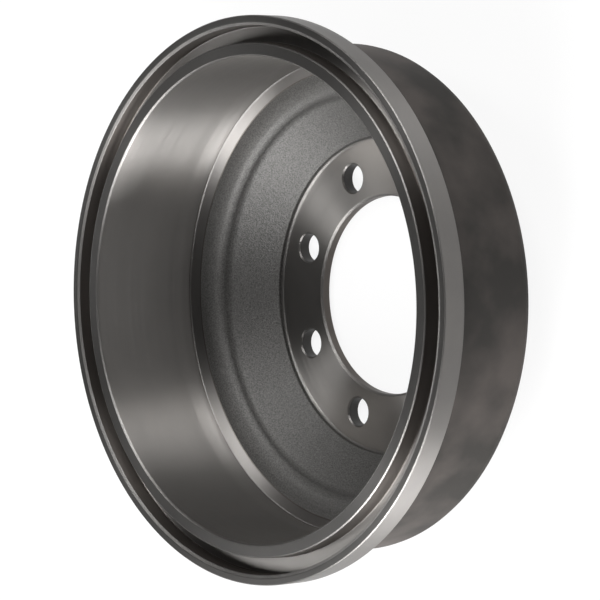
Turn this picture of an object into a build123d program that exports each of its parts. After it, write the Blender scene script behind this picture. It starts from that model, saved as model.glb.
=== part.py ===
"""Brake drum of a hydraulic drum brake: one grey-iron casting, turned on its working faces.

The drum lies on its wheel face with the open side up. The axis is Z, the origin is the centre
of the wheel face, and every length is in millimetres. Heights count up from the wheel face.
"""

import math
import os

from build123d import *

# Overall casting
overall_height = 128.0        # wheel face to the machined open end
wall = 9.3                    # barrel thickness outside the braking surface
web_thickness = 9.0           # cast web between the barrel and the mounting flange

# Open end: ring, labyrinth groove for the backing plate's rim, and the outer lip
band_diameter = 356.0         # turned outside of the lip
band_width = 15.9             # width of that turned band
lip_thickness = 6.5
ring_width = 8.5              # turned ring round the mouth of the braking surface
groove_width = 10.6           # room for the backing plate's rim, between the lip and the ring
groove_depth = 11.3
lip_bevel_width = 2.2         # shallow bevel that guides the backing plate into the groove
lip_bevel_depth = 0.9
lip_chamfer = 0.8
ring_outer_chamfer = 1.2
ring_inner_chamfer = 1.0
band_back_chamfer = 3.0       # where the band meets the barrel

# Braking surface: a 12 in bore for 3 in shoes, with a turned run-out shoulder at its end. It
# lies a rim's width inside the band: the lip, the groove and the ring
braking_diameter = band_diameter - 2 * (lip_thickness + groove_width + ring_width)
braking_length = 79.5         # open end to the start of the shoulder
shoulder_width = 7.1          # how far the turned shoulder reaches in from the braking surface
shoulder_drop = 3.5           # how far it falls on the way

# Cast web: a rounded roll behind the shoulder, a crease, then a cone down to the flange
roll_width = 16.3             # from the shoulder in to the crease
crease_radius = braking_diameter / 2 - shoulder_width - roll_width
roll_height = 8.4             # side wall of the roll above the crease
roll_fillet = 6.0
crease_fillet = 1.6
roll_fall = 1.8               # fall of the roll's top from the shoulder to its edge
knee_drop = 4.9               # outer knee of the barrel below the shoulder
knee_fillet = 6.0
heel_chamfer = 2.0            # turned outer edge of the wheel face

# Mounting flange: flat outside, with a pilot bore, a 6.5 in bolt circle round it and, inside,
# a counterbore that takes the hub's flange
flange_thickness = 8.5
pilot_diameter = 128.5
pilot_inner_chamfer = 1.0
pilot_outer_chamfer = 2.0
bolt_setback = 18.3           # from the wall of the pilot bore out to the bolt circle
bolt_circle = pilot_diameter + 2 * bolt_setback
bolt_count = 8
bolt_hole_diameter = 18.6
bolt_hole_chamfer = 0.7
recess_margin = 20.75         # from the bolt circle out to the wall of the counterbore
recess_diameter = bolt_circle + 2 * recess_margin
recess_depth = 3.4
recess_corner = 0.9           # tool relief in the corner of the counterbore

# Radii and heights that follow from the sizes above
braking_radius = braking_diameter / 2
ring_radius = braking_radius + ring_width
barrel_radius = braking_radius + wall
band_radius = band_diameter / 2
groove_outer_radius = band_radius - lip_thickness
groove_bottom = overall_height - groove_depth
band_bottom = overall_height - band_width
braking_end = overall_height - braking_length
shoulder_radius = braking_radius - shoulder_width
shoulder_height = braking_end - shoulder_drop
roll_top = shoulder_height - roll_fall
crease_height = roll_top - roll_height
recess_radius = recess_diameter / 2
recess_rim = flange_thickness + recess_depth
pilot_radius = pilot_diameter / 2

# The outside of the web runs parallel to its inner cone, one web thickness away
cone_angle = math.atan2(crease_height - recess_rim, crease_radius - recess_radius)
outer_crease_radius = crease_radius + web_thickness * math.sin(cone_angle)
outer_crease_height = crease_height - web_thickness * math.cos(cone_angle)
wheel_face_radius = outer_crease_radius - outer_crease_height / math.tan(cone_angle)
knee_height = shoulder_height - knee_drop

# Corners of the half section, in order around it: (radius, height, treatment, size)
section = [
    (pilot_radius, 0, "chamfer", pilot_outer_chamfer),
    (pilot_radius, flange_thickness, "chamfer", pilot_inner_chamfer),
    (recess_radius, flange_thickness, "chamfer", recess_corner),
    (recess_radius, recess_rim, None, 0),
    (crease_radius, crease_height, "fillet", crease_fillet),
    (crease_radius, roll_top, "fillet", roll_fillet),
    (shoulder_radius, shoulder_height, None, 0),
    (braking_radius, braking_end, None, 0),
    (braking_radius, overall_height, "chamfer", ring_inner_chamfer),
    (ring_radius, overall_height, "chamfer", ring_outer_chamfer),
    (ring_radius, groove_bottom, None, 0),
    (groove_outer_radius, groove_bottom, None, 0),
    (groove_outer_radius, overall_height - lip_bevel_depth, None, 0),
    (groove_outer_radius + lip_bevel_width, overall_height, None, 0),
    (band_radius, overall_height, "chamfer", lip_chamfer),
    (band_radius, band_bottom, None, 0),
    (barrel_radius, band_bottom, "chamfer", band_back_chamfer),
    (barrel_radius, knee_height, "fillet", knee_fillet),
    (outer_crease_radius, outer_crease_height, None, 0),
    (wheel_face_radius, 0, "chamfer", heel_chamfer),
]

# The casting, revolved from its half section once each corner has its radius or chamfer
with BuildPart() as drum:
    with BuildSketch(Plane.XZ) as half_section:
        with BuildLine():
            Polyline(*[(radius, height) for radius, height, _, _ in section], close=True)
        make_face()
        for radius, height, treatment, size in section:
            if treatment is None:
                continue
            corner = half_section.vertices().sort_by_distance((radius, height, 0))[0]
            if treatment == "fillet":
                fillet(corner, size)
            else:
                chamfer(corner, size)
    revolve(axis=Axis.Z)

    # Wheel bolt holes, drilled through the flange and broken at their inner edge
    with BuildSketch(Plane.XY):
        with PolarLocations(bolt_circle / 2, bolt_count):
            Circle(bolt_hole_diameter / 2)
    extrude(amount=flange_thickness, mode=Mode.SUBTRACT)
    hole_rims = (
        drum.edges()
        .filter_by(GeomType.CIRCLE)
        .filter_by(lambda edge: abs(edge.radius - bolt_hole_diameter / 2) < 0.01)
        .group_by(Axis.Z)[-1]
    )
    chamfer(hole_rims, bolt_hole_chamfer)

os.makedirs("parts", exist_ok=True)
drum.part.label = "drum"
export_step(drum.part, "parts/drum.step")
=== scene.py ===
import math
import bmesh
import bpy
from mathutils import Matrix, Vector


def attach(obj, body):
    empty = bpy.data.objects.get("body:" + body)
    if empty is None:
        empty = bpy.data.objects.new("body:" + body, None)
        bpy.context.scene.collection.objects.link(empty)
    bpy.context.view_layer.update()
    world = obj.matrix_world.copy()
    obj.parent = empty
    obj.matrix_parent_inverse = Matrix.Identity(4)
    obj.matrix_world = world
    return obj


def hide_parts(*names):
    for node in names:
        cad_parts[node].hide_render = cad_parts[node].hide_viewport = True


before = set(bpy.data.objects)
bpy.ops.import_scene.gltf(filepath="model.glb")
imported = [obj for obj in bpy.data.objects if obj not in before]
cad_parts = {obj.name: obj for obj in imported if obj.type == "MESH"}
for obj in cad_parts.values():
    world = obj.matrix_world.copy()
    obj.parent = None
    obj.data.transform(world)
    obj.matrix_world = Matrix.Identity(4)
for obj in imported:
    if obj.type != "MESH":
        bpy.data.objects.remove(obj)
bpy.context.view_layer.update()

# The casting: the whole drum is one piece of grey iron, cast to its outline in a sand mould and then
# turned on the band, lip, groove, ring, braking surface, shoulder, flange and pilot bore. Its form is
# one half section swept round Z. Sizes are in mm, and heights count up from the wheel face.
overall_height = 128.0
flange_thickness = 8.5
pilot_radius = 64.25
recess_radius = 103.3
heel_radius = 104.6
shoulder_radius = 145.3
shoulder_height = 45.0
braking_radius = 152.4
braking_end = 48.5
ring_radius = 160.9
groove_bottom = 116.7
groove_outer_radius = 171.5
band_radius = 178.0
band_bottom = 112.1
barrel_radius = 161.7

# Each corner is a radius, a height and how far back along its sides it is rounded
half_section = (
    # pilot bore with both its edges broken, and the floor and wall of the counterbore
    (pilot_radius + 2.0, 0.0, 0.25), (pilot_radius, 2.0, 0.25),
    (pilot_radius, flange_thickness - 1.3, 0.25), (pilot_radius + 1.3, flange_thickness, 0.25),
    (recess_radius, flange_thickness, 1.9), (recess_radius, flange_thickness + 3.4, 0.45),
    # cone of the web up to the crease, then the rounded roll
    (128.6, 34.5, 2.6), (129.2, 38.3, 1.8), (131.9, 41.8, 2.0), (137.5, 44.1, 3.0),
    # run-out shoulder, braking surface, and the ring round the mouth
    (shoulder_radius, shoulder_height, 0.4), (braking_radius, braking_end, 0.7),
    (braking_radius, overall_height - 1.0, 0.25), (braking_radius + 1.0, overall_height, 0.25),
    (ring_radius - 0.7, overall_height, 0.2), (ring_radius, overall_height - 0.7, 0.2),
    # groove for the backing plate's rim, lip with its shallow bevel, and the turned band
    (ring_radius, groove_bottom, 0.8), (groove_outer_radius, groove_bottom, 0.8),
    (groove_outer_radius, overall_height - 0.9, 0.25), (groove_outer_radius + 2.2, overall_height, 0.6),
    (band_radius - 0.6, overall_height, 0.2), (band_radius, overall_height - 0.6, 0.2),
    (band_radius, band_bottom, 0.5),
    # barrel, knee, outside of the web, and the turned outer edge of the wheel face
    (barrel_radius, band_bottom, 3.0), (barrel_radius, 40.1, 6.0), (134.99, 28.08, 5.0),
    (heel_radius, 1.3, 0.8), (heel_radius - 2.4, 0.0, 0.8),
)
casting = bmesh.new()
corners = [casting.verts.new((radius / 1000, 0, height / 1000)) for radius, height, rounding in half_section]
for here, after in zip(corners, corners[1:] + corners[:1]):
    casting.edges.new((here, after))
for corner, (radius, height, rounding) in zip(corners, half_section):
    bmesh.ops.bevel(casting, geom=[corner], offset=rounding / 1000, affect="VERTICES",
                    segments=4, profile=0.5, material=-1)

# A short run of 0.3 mm beside each rounding keeps the flat faces flat under smooth shading
run = 0.0003
for side in [side for side in casting.edges if side.calc_length() > 3 * run]:
    stop = bmesh.utils.edge_split(side, side.verts[0], run / side.calc_length())[1]
    rest = max(stop.link_edges, key=lambda part: part.calc_length())
    bmesh.utils.edge_split(rest, rest.other_vert(stop), run / rest.calc_length())
bmesh.ops.spin(casting, geom=casting.verts[:] + casting.edges[:], cent=(0, 0, 0), axis=(0, 0, 1),
               angle=math.tau, steps=288, use_merge=True, use_duplicate=False)
bmesh.ops.remove_doubles(casting, verts=casting.verts, dist=0.000001)
bmesh.ops.recalc_face_normals(casting, faces=casting.faces)

drum_mesh = bpy.data.meshes.new("drum_casting")
casting.to_mesh(drum_mesh)
casting.free()
drum = bpy.data.objects.new("drum_casting", drum_mesh)
bpy.context.scene.collection.objects.link(drum)

# The wheel bolt holes: eight on one circle in the flange. They are drilled right through the iron,
# and their inner edges are broken with a countersink.
hole_count = 8
hole_step = math.tau / hole_count
bolt_circle_radius = 82.55
hole_radius = 9.3
hole_chamfer = 0.9
drill_start = -2.0      # below the wheel face
drill_reach = 0.7       # how far the drill stands out of the flange
drill_line = (
    (0, drill_start), (hole_radius, drill_start), (hole_radius, flange_thickness - hole_chamfer),
    (hole_radius + hole_chamfer + drill_reach, flange_thickness + drill_reach),
    (0, flange_thickness + drill_reach),
)
drill = bmesh.new()
tips = [drill.verts.new((radius / 1000, 0, height / 1000)) for radius, height in drill_line]
for here, after in zip(tips, tips[1:]):
    drill.edges.new((here, after))
bmesh.ops.spin(drill, geom=drill.verts[:] + drill.edges[:], cent=(0, 0, 0), axis=(0, 0, 1),
               angle=math.tau, steps=64, use_merge=True, use_duplicate=False)
bmesh.ops.remove_doubles(drill, verts=drill.verts, dist=0.000001)
bmesh.ops.translate(drill, verts=drill.verts, vec=(bolt_circle_radius / 1000, 0, 0))
one_drill = drill.verts[:] + drill.edges[:] + drill.faces[:]
for hole in range(1, hole_count):
    copied = bmesh.ops.duplicate(drill, geom=one_drill)["geom"]
    bmesh.ops.rotate(drill, verts=[part for part in copied if isinstance(part, bmesh.types.BMVert)],
                     cent=(0, 0, 0), matrix=Matrix.Rotation(hole * hole_step, 3, "Z"))
bmesh.ops.recalc_face_normals(drill, faces=drill.faces)
for face in drill.faces:
    face.smooth = True
drill_mesh = bpy.data.meshes.new("bolt_hole_drill")
drill.to_mesh(drill_mesh)
drill.free()
drills = bpy.data.objects.new("bolt_hole_drill", drill_mesh)
bpy.context.scene.collection.objects.link(drills)
drilling = drum.modifiers.new("bolt_holes", "BOOLEAN")
drilling.object = drills
drilling.operation = "DIFFERENCE"
drilling.solver = "EXACT"
bpy.context.view_layer.update()
drilled_mesh = bpy.data.meshes.new_from_object(drum.evaluated_get(bpy.context.evaluated_depsgraph_get()))
drum.modifiers.clear()
drum.data = drilled_mesh
drilled_mesh.name = "drum_casting"
bpy.data.objects.remove(drills)

# The cut leaves a few points on top of each other round the holes
deburr = bmesh.new()
deburr.from_mesh(drilled_mesh)
bmesh.ops.remove_doubles(deburr, verts=deburr.verts, dist=0.000005)
bmesh.ops.dissolve_degenerate(deburr, edges=deburr.edges, dist=0.000005)
deburr.to_mesh(drilled_mesh)
deburr.free()

# Tool marks, shared by every turned face: fine rings that follow the cutter's feed, which runs along
# the radius on flat faces and along the height on bores. A few wider bands show where it was
# redressed, and soft smudges where the film of oil is uneven.
marks = bpy.data.node_groups.new("turning_marks", "ShaderNodeTree")
for name, value in (("Pitch", 0.0004), ("Band Width", 0.004)):
    marks.interface.new_socket(name, in_out="INPUT", socket_type="NodeSocketFloat").default_value = value
for name in ("Rings", "Bands", "Smudges"):
    marks.interface.new_socket(name, in_out="OUTPUT", socket_type="NodeSocketFloat")
nodes, links = marks.nodes, marks.links
entry, leave = nodes.new("NodeGroupInput"), nodes.new("NodeGroupOutput")
place = nodes.new("ShaderNodeTexCoord")
axes = nodes.new("ShaderNodeSeparateXYZ")
links.new(place.outputs["Object"], axes.inputs[0])
flat_place = nodes.new("ShaderNodeCombineXYZ")
links.new(axes.outputs["X"], flat_place.inputs["X"])
links.new(axes.outputs["Y"], flat_place.inputs["Y"])
radius_here = nodes.new("ShaderNodeVectorMath")
radius_here.operation = "LENGTH"
links.new(flat_place.outputs[0], radius_here.inputs[0])
feed = nodes.new("ShaderNodeMath")
feed.operation = "ADD"
links.new(radius_here.outputs["Value"], feed.inputs[0])
links.new(axes.outputs["Z"], feed.inputs[1])
for socket, result, detail in (("Pitch", "Rings", 3.0), ("Band Width", "Bands", 1.0)):
    turns = nodes.new("ShaderNodeMath")
    turns.operation = "DIVIDE"
    links.new(feed.outputs[0], turns.inputs[0])
    links.new(entry.outputs[socket], turns.inputs[1])
    rings = nodes.new("ShaderNodeTexNoise")
    rings.noise_dimensions = "1D"
    rings.inputs["Detail"].default_value = detail
    rings.inputs["Scale"].default_value = 1.0
    links.new(turns.outputs[0], rings.inputs["W"])
    links.new(rings.outputs["Fac"], leave.inputs[result])
smudges = nodes.new("ShaderNodeTexNoise")
smudges.inputs["Scale"].default_value = 38.0
smudges.inputs["Detail"].default_value = 4.0
smudges.inputs["Roughness"].default_value = 0.55
links.new(place.outputs["Object"], smudges.inputs["Vector"])
links.new(smudges.outputs["Fac"], leave.inputs["Smudges"])


# Turned iron: bare grey iron under a light film of oil. The rings run round the axis and spread
# the light across themselves, so the faces shine in wedges and the bores in long streaks.
# The copies for rims, band and shoulder, flange and groove floor, braking surface and edges differ in colour
# as painted light and shade
def turned_iron(name, light, dark, metallic, roughness, anisotropy, ring_depth):
    iron = bpy.data.materials.new(name)
    iron.use_nodes = True
    nodes, links = iron.node_tree.nodes, iron.node_tree.links
    shader = nodes["Principled BSDF"]
    shader.inputs["Metallic"].default_value = metallic
    shader.inputs["Specular IOR Level"].default_value = 0.1
    shader.inputs["Anisotropic"].default_value = anisotropy
    shader.inputs["Anisotropic Rotation"].default_value = 0.25
    tangent = nodes.new("ShaderNodeTangent")
    tangent.direction_type, tangent.axis = "RADIAL", "Z"
    links.new(tangent.outputs["Tangent"], shader.inputs["Tangent"])
    tool = nodes.new("ShaderNodeGroup")
    tool.node_tree = marks
    tone = nodes.new("ShaderNodeMix")
    tone.data_type = "RGBA"
    tone.inputs["A"].default_value = (*dark, 1)
    tone.inputs["B"].default_value = (*light, 1)
    tint = nodes.new("ShaderNodeMapRange")
    tint.inputs["From Min"].default_value = 0.3
    tint.inputs["From Max"].default_value = 0.7
    links.new(tool.outputs["Smudges"], tint.inputs["Value"])
    links.new(tint.outputs["Result"], tone.inputs["Factor"])
    links.new(tone.outputs["Result"], shader.inputs["Base Color"])
    polish = nodes.new("ShaderNodeMapRange")
    polish.inputs["From Min"].default_value = 0.3
    polish.inputs["From Max"].default_value = 0.7
    polish.inputs["To Min"].default_value = roughness - 0.015
    polish.inputs["To Max"].default_value = roughness + 0.015
    links.new(tool.outputs["Bands"], polish.inputs["Value"])
    links.new(polish.outputs["Result"], shader.inputs["Roughness"])
    relief = nodes.new("ShaderNodeBump")
    relief.name = "ring_relief"
    relief.inputs["Strength"].default_value = 1.0
    relief.inputs["Distance"].default_value = ring_depth
    links.new(tool.outputs["Rings"], relief.inputs["Height"])
    links.new(relief.outputs["Normal"], shader.inputs["Normal"])
    return iron


# Flat rims of ring and lip: satin, with a thick film of oil; their darker colour is painted shade
rim = turned_iron("rim_iron", light=(0.056, 0.054, 0.052), dark=(0.05, 0.0485, 0.047),
                  metallic=0.62, roughness=0.34, anisotropy=0.94, ring_depth=0.0000015)
# The walls of the groove and of the pilot bore, the wheel face and the back of the band are browned
turned = turned_iron("turned_iron", light=(0.106, 0.0945, 0.0862), dark=(0.092, 0.083, 0.0765),
                     metallic=0.8, roughness=0.34, anisotropy=0.96, ring_depth=0.0000015)
# The band and the run-out shoulder have a coarser finish; their lighter colour is painted light
band = turned_iron("band_iron", light=(0.165, 0.158, 0.151), dark=(0.15, 0.144, 0.139),
                   metallic=0.84, roughness=0.38, anisotropy=0.9, ring_depth=0.0000015)
# The flange inside the counterbore and the floor of the groove are clean cut; their bright colour is painted
# light
flange = turned_iron("flange_iron", light=(0.205, 0.197, 0.188), dark=(0.185, 0.178, 0.17),
                     metallic=0.9, roughness=0.33, anisotropy=0.97, ring_depth=0.0000015)

# The braking surface has the finest finish; its colour, the lightest of the turned iron's, is painted light.
# Over its last 16 mm, where the tool is drawn back, it blends out into the shoulder.
run_out_length = 16.0
run_out_margin = 3.0        # how far below the braking surface the blend ends
braking = turned_iron("braking_iron", light=(0.232, 0.222, 0.212), dark=(0.218, 0.209, 0.2),
                      metallic=0.88, roughness=0.34, anisotropy=0.98, ring_depth=0.000001)
nodes, links = braking.node_tree.nodes, braking.node_tree.links
place = nodes.new("ShaderNodeTexCoord")
axes = nodes.new("ShaderNodeSeparateXYZ")
links.new(place.outputs["Object"], axes.inputs[0])
run_out = nodes.new("ShaderNodeMapRange")
run_out.interpolation_type = "SMOOTHSTEP"
run_out.inputs["From Min"].default_value = (braking_end + run_out_length) / 1000
run_out.inputs["From Max"].default_value = (braking_end - run_out_margin) / 1000
links.new(axes.outputs["Z"], run_out.inputs["Value"])
blend_out = nodes.new("ShaderNodeBump")
blend_out.inputs["Strength"].default_value = 1.0
blend_out.inputs["Distance"].default_value = 0.003
links.new(run_out.outputs["Result"], blend_out.inputs["Height"])
links.new(blend_out.outputs["Normal"], nodes["ring_relief"].inputs["Normal"])

# The broken edges are cut in one light pass, with chatter across them; their bright colour is painted
# highlight
edges = turned_iron("edge_iron", light=(0.185, 0.178, 0.171), dark=(0.155, 0.15, 0.145),
                    metallic=0.95, roughness=0.45, anisotropy=0.5, ring_depth=0.000003)
nodes, links = edges.node_tree.nodes, edges.node_tree.links
along = nodes.new("ShaderNodeTexCoord")
chatter = nodes.new("ShaderNodeTexNoise")
chatter.inputs["Scale"].default_value = 1100.0
chatter.inputs["Detail"].default_value = 2.0
links.new(along.outputs["Object"], chatter.inputs["Vector"])
chatter_relief = nodes.new("ShaderNodeBump")
chatter_relief.inputs["Strength"].default_value = 1.0
chatter_relief.inputs["Distance"].default_value = 0.0002
links.new(chatter.outputs["Fac"], chatter_relief.inputs["Height"])
links.new(chatter_relief.outputs["Normal"], nodes["ring_relief"].inputs["Normal"])

# The walls of the bolt holes keep the drill's deeper marks, and are as dull in every direction
drilled = turned_iron("drilled_iron", light=(0.07, 0.068, 0.066), dark=(0.045, 0.0435, 0.042),
                      metallic=0.7, roughness=0.45, anisotropy=0.0, ring_depth=0.00001)

# Cast web: left as it came from the mould, it keeps the grain of the sand, fine, dull and even,
# lighter on the tops of the grains than between them.
web = bpy.data.materials.new("cast_web")
web.use_nodes = True
nodes, links = web.node_tree.nodes, web.node_tree.links
web_shader = nodes["Principled BSDF"]
web_shader.inputs["Metallic"].default_value = 0.6
web_shader.inputs["Roughness"].default_value = 0.5
mould = nodes.new("ShaderNodeTexCoord")
sand = nodes.new("ShaderNodeTexNoise")
sand.inputs["Scale"].default_value = 1050.0
sand.inputs["Detail"].default_value = 3.0
sand.inputs["Roughness"].default_value = 0.6
links.new(mould.outputs["Object"], sand.inputs["Vector"])
skin = nodes.new("ShaderNodeMix")
skin.data_type = "RGBA"
skin.inputs["A"].default_value = (0.052, 0.0507, 0.0489, 1)
skin.inputs["B"].default_value = (0.112, 0.1095, 0.1054, 1)
grains = nodes.new("ShaderNodeMapRange")
grains.inputs["From Min"].default_value = 0.35
grains.inputs["From Max"].default_value = 0.65
links.new(sand.outputs["Fac"], grains.inputs["Value"])
links.new(grains.outputs["Result"], skin.inputs["Factor"])
links.new(skin.outputs["Result"], web_shader.inputs["Base Color"])
grit = nodes.new("ShaderNodeBump")
grit.inputs["Strength"].default_value = 1.0
grit.inputs["Distance"].default_value = 0.0003
links.new(sand.outputs["Fac"], grit.inputs["Height"])
links.new(grit.outputs["Normal"], web_shader.inputs["Normal"])

# Barrel skin: the outside stays as it was cast too. It is smooth and dark, and mottled brown and
# grey where the heat of the casting has stained it.
barrel = bpy.data.materials.new("barrel_skin")
barrel.use_nodes = True
nodes, links = barrel.node_tree.nodes, barrel.node_tree.links
barrel_shader = nodes["Principled BSDF"]
barrel_shader.inputs["Specular IOR Level"].default_value = 0.03
barrel_shader.inputs["Roughness"].default_value = 0.5
heat = nodes.new("ShaderNodeTexCoord")
stains = nodes.new("ShaderNodeTexNoise")
stains.inputs["Scale"].default_value = 22.0
stains.inputs["Detail"].default_value = 5.0
links.new(heat.outputs["Object"], stains.inputs["Vector"])
mottle = nodes.new("ShaderNodeMix")
mottle.data_type = "RGBA"
mottle.inputs["A"].default_value = (0.0275, 0.026, 0.0245, 1)
mottle.inputs["B"].default_value = (0.051, 0.0452, 0.0422, 1)
stained = nodes.new("ShaderNodeMapRange")
stained.inputs["From Min"].default_value = 0.38
stained.inputs["From Max"].default_value = 0.62
links.new(stains.outputs["Fac"], stained.inputs["Value"])
links.new(stained.outputs["Result"], mottle.inputs["Factor"])
links.new(mottle.outputs["Result"], barrel_shader.inputs["Base Color"])

# The finished drum: each face takes its finish, with the painted light and shade of its region,
# from where it lies on the half section, and the swept piece stands for the solid.
finishes_and_painted_light = [turned, braking, flange, web, barrel, band, rim, edges, drilled]


def finish_and_painted_light_of(face):
    """The finish of one face of the drum, with its region's painted light and shade, from its place in mm
    and the way it faces.
    """
    across, along, height = (1000 * place for place in face.center)
    radius = math.hypot(across, along)
    outward = (face.normal.x * across + face.normal.y * along) / radius
    upward = face.normal.z
    inside = upward > 0.05 or outward < -0.05
    sloped = 0.2 < upward < 0.97
    hole = hole_step * round(math.atan2(along, across) / hole_step)
    from_hole = math.hypot(across - bolt_circle_radius * math.cos(hole),
                           along - bolt_circle_radius * math.sin(hole))
    if from_hole < hole_radius + hole_chamfer + 0.1 and upward < 0.95:
        return edges if sloped else drilled
    if abs(radius - braking_radius) < 0.2 and braking_end + 0.8 < height < overall_height - 0.8:
        return braking
    on_flange = height < flange_thickness + 0.5 and pilot_radius + 1.25 < radius < recess_radius - 0.3
    in_groove = abs(height - groove_bottom) < 0.5
    if upward > 0.9 and (on_flange or in_groove):
        return flange
    if inside and recess_radius - 0.3 < radius < shoulder_radius - 0.1 and height < shoulder_height + 1.0:
        return web
    if not inside and height < band_bottom - 0.3 and radius > heel_radius - 0.1:
        return barrel
    at_mouth = height > overall_height - 2.0
    at_corner = (abs(radius - braking_radius) < 1.4 or abs(radius - pilot_radius) < 1.75
                 or recess_radius - 2.3 < radius < recess_radius + 0.1)
    if sloped and (at_mouth or at_corner):
        return edges
    on_shoulder = shoulder_radius + 0.7 < radius < braking_radius - 0.5 and height < braking_end + 0.5
    if radius > band_radius - 0.2 or inside and on_shoulder:
        return band
    if height > overall_height - 0.5:
        return rim
    return turned


for iron in finishes_and_painted_light:
    drum.data.materials.append(iron)
for face in drum.data.polygons:
    face.use_smooth = True
    face.material_index = finishes_and_painted_light.index(finish_and_painted_light_of(face))
drum.data.set_sharp_from_angle(angle=math.radians(32))
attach(drum, "root")
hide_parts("drum")

# The floor: a plain white sheet that the drum lies on. It is not part of the object, and it shows
# white to the eye and in the metal while it keeps the drum's shadow.
sheet = bmesh.new()
bmesh.ops.create_grid(sheet, x_segments=1, y_segments=1, size=4.0)
bmesh.ops.translate(sheet, verts=sheet.verts, vec=(0, 0, -0.0002))
floor_mesh = bpy.data.meshes.new("floor")
sheet.to_mesh(floor_mesh)
sheet.free()
floor = bpy.data.objects.new("floor", floor_mesh)
bpy.context.scene.collection.objects.link(floor)
paper = bpy.data.materials.new("white_paper")
paper.use_nodes = True
nodes, links = paper.node_tree.nodes, paper.node_tree.links
nodes.clear()
matt = nodes.new("ShaderNodeBsdfDiffuse")
matt.inputs["Color"].default_value = (0.8, 0.8, 0.8, 1)
glow = nodes.new("ShaderNodeEmission")
glow.inputs["Color"].default_value = (1, 1, 1, 1)
glow.inputs["Strength"].default_value = 1.0
path = nodes.new("ShaderNodeLightPath")
seen = nodes.new("ShaderNodeMath")
seen.operation = "MAXIMUM"
links.new(path.outputs["Is Camera Ray"], seen.inputs[0])
links.new(path.outputs["Is Glossy Ray"], seen.inputs[1])
seen_through = nodes.new("ShaderNodeMath")
seen_through.operation = "MAXIMUM"
links.new(seen.outputs[0], seen_through.inputs[0])
links.new(path.outputs["Is Transmission Ray"], seen_through.inputs[1])
share = nodes.new("ShaderNodeMath")
share.operation = "MULTIPLY"
share.inputs[1].default_value = 0.88
links.new(seen_through.outputs[0], share.inputs[0])
blend = nodes.new("ShaderNodeMixShader")
links.new(share.outputs[0], blend.inputs["Fac"])
links.new(matt.outputs[0], blend.inputs[1])
links.new(glow.outputs[0], blend.inputs[2])
output = nodes.new("ShaderNodeOutputMaterial")
links.new(blend.outputs[0], output.inputs["Surface"])
floor.data.materials.append(paper)

# The studio: a black room with round soft boxes hung about the drum, and two smaller ones nearer to
# its left side. Each is set by its bearing and its climb over the floor in degrees, its power in
# watts, and its width, height and distance in metres.
room = bpy.data.worlds.new("room")
bpy.context.scene.world = room
room.use_nodes = True
room.node_tree.nodes["Background"].inputs["Color"].default_value = (0, 0, 0, 1)
aim = Vector((0, 0, 0.07))      # the middle of the drum


def soft_box(name, bearing, climb, power, width=0.75, height=0.75, distance=2.6):
    lamp = bpy.data.lights.new(name, "AREA")
    lamp.shape = "ELLIPSE"
    lamp.size, lamp.size_y = width, height
    lamp.energy = power
    box = bpy.data.objects.new(name, lamp)
    bpy.context.scene.collection.objects.link(box)
    bearing, climb = math.radians(bearing), math.radians(climb)
    out = Vector((math.cos(climb) * math.cos(bearing), math.cos(climb) * math.sin(bearing), math.sin(climb)))
    box.location = distance * out
    box.rotation_mode = "QUATERNION"
    box.rotation_quaternion = (aim - box.location).to_track_quat("-Z", "Y")


soft_box("side_box", bearing=229, climb=6, power=15.5, width=0.75, height=0.22, distance=1.3)
soft_box("left_box", bearing=214, climb=24, power=16, width=0.6, height=0.38, distance=1.3)
soft_box("left_high_box", bearing=206, climb=42, power=67, width=1.2)
soft_box("left_back_box", bearing=180, climb=42, power=14)
soft_box("right_low_box", bearing=358, climb=24, power=26, width=1.4)
soft_box("right_box", bearing=355, climb=42, power=34, width=1.1)
soft_box("right_high_box", bearing=54, climb=60, power=19)
soft_box("back_high_box", bearing=162, climb=60, power=8)
soft_box("back_box", bearing=135, climb=42, power=8)
soft_box("back_low_box", bearing=108, climb=8, power=11)

# The camera looks down into the open side, rolled so that the drum's axis lies across the picture.
camera_data = bpy.data.cameras.new("camera")
camera_data.sensor_width = 36.0
camera_data.lens = 209.16
camera_data.clip_end = 20.0
camera = bpy.data.objects.new("camera", camera_data)
bpy.context.scene.collection.objects.link(camera)
camera.location = (0.67139, -1.51278, 1.54158)
camera.rotation_euler = [math.radians(angle) for angle in (-2.6355, 48.5859, -69.55)]
bpy.context.scene.camera = camera
bpy.context.scene.view_settings.view_transform = "Standard"
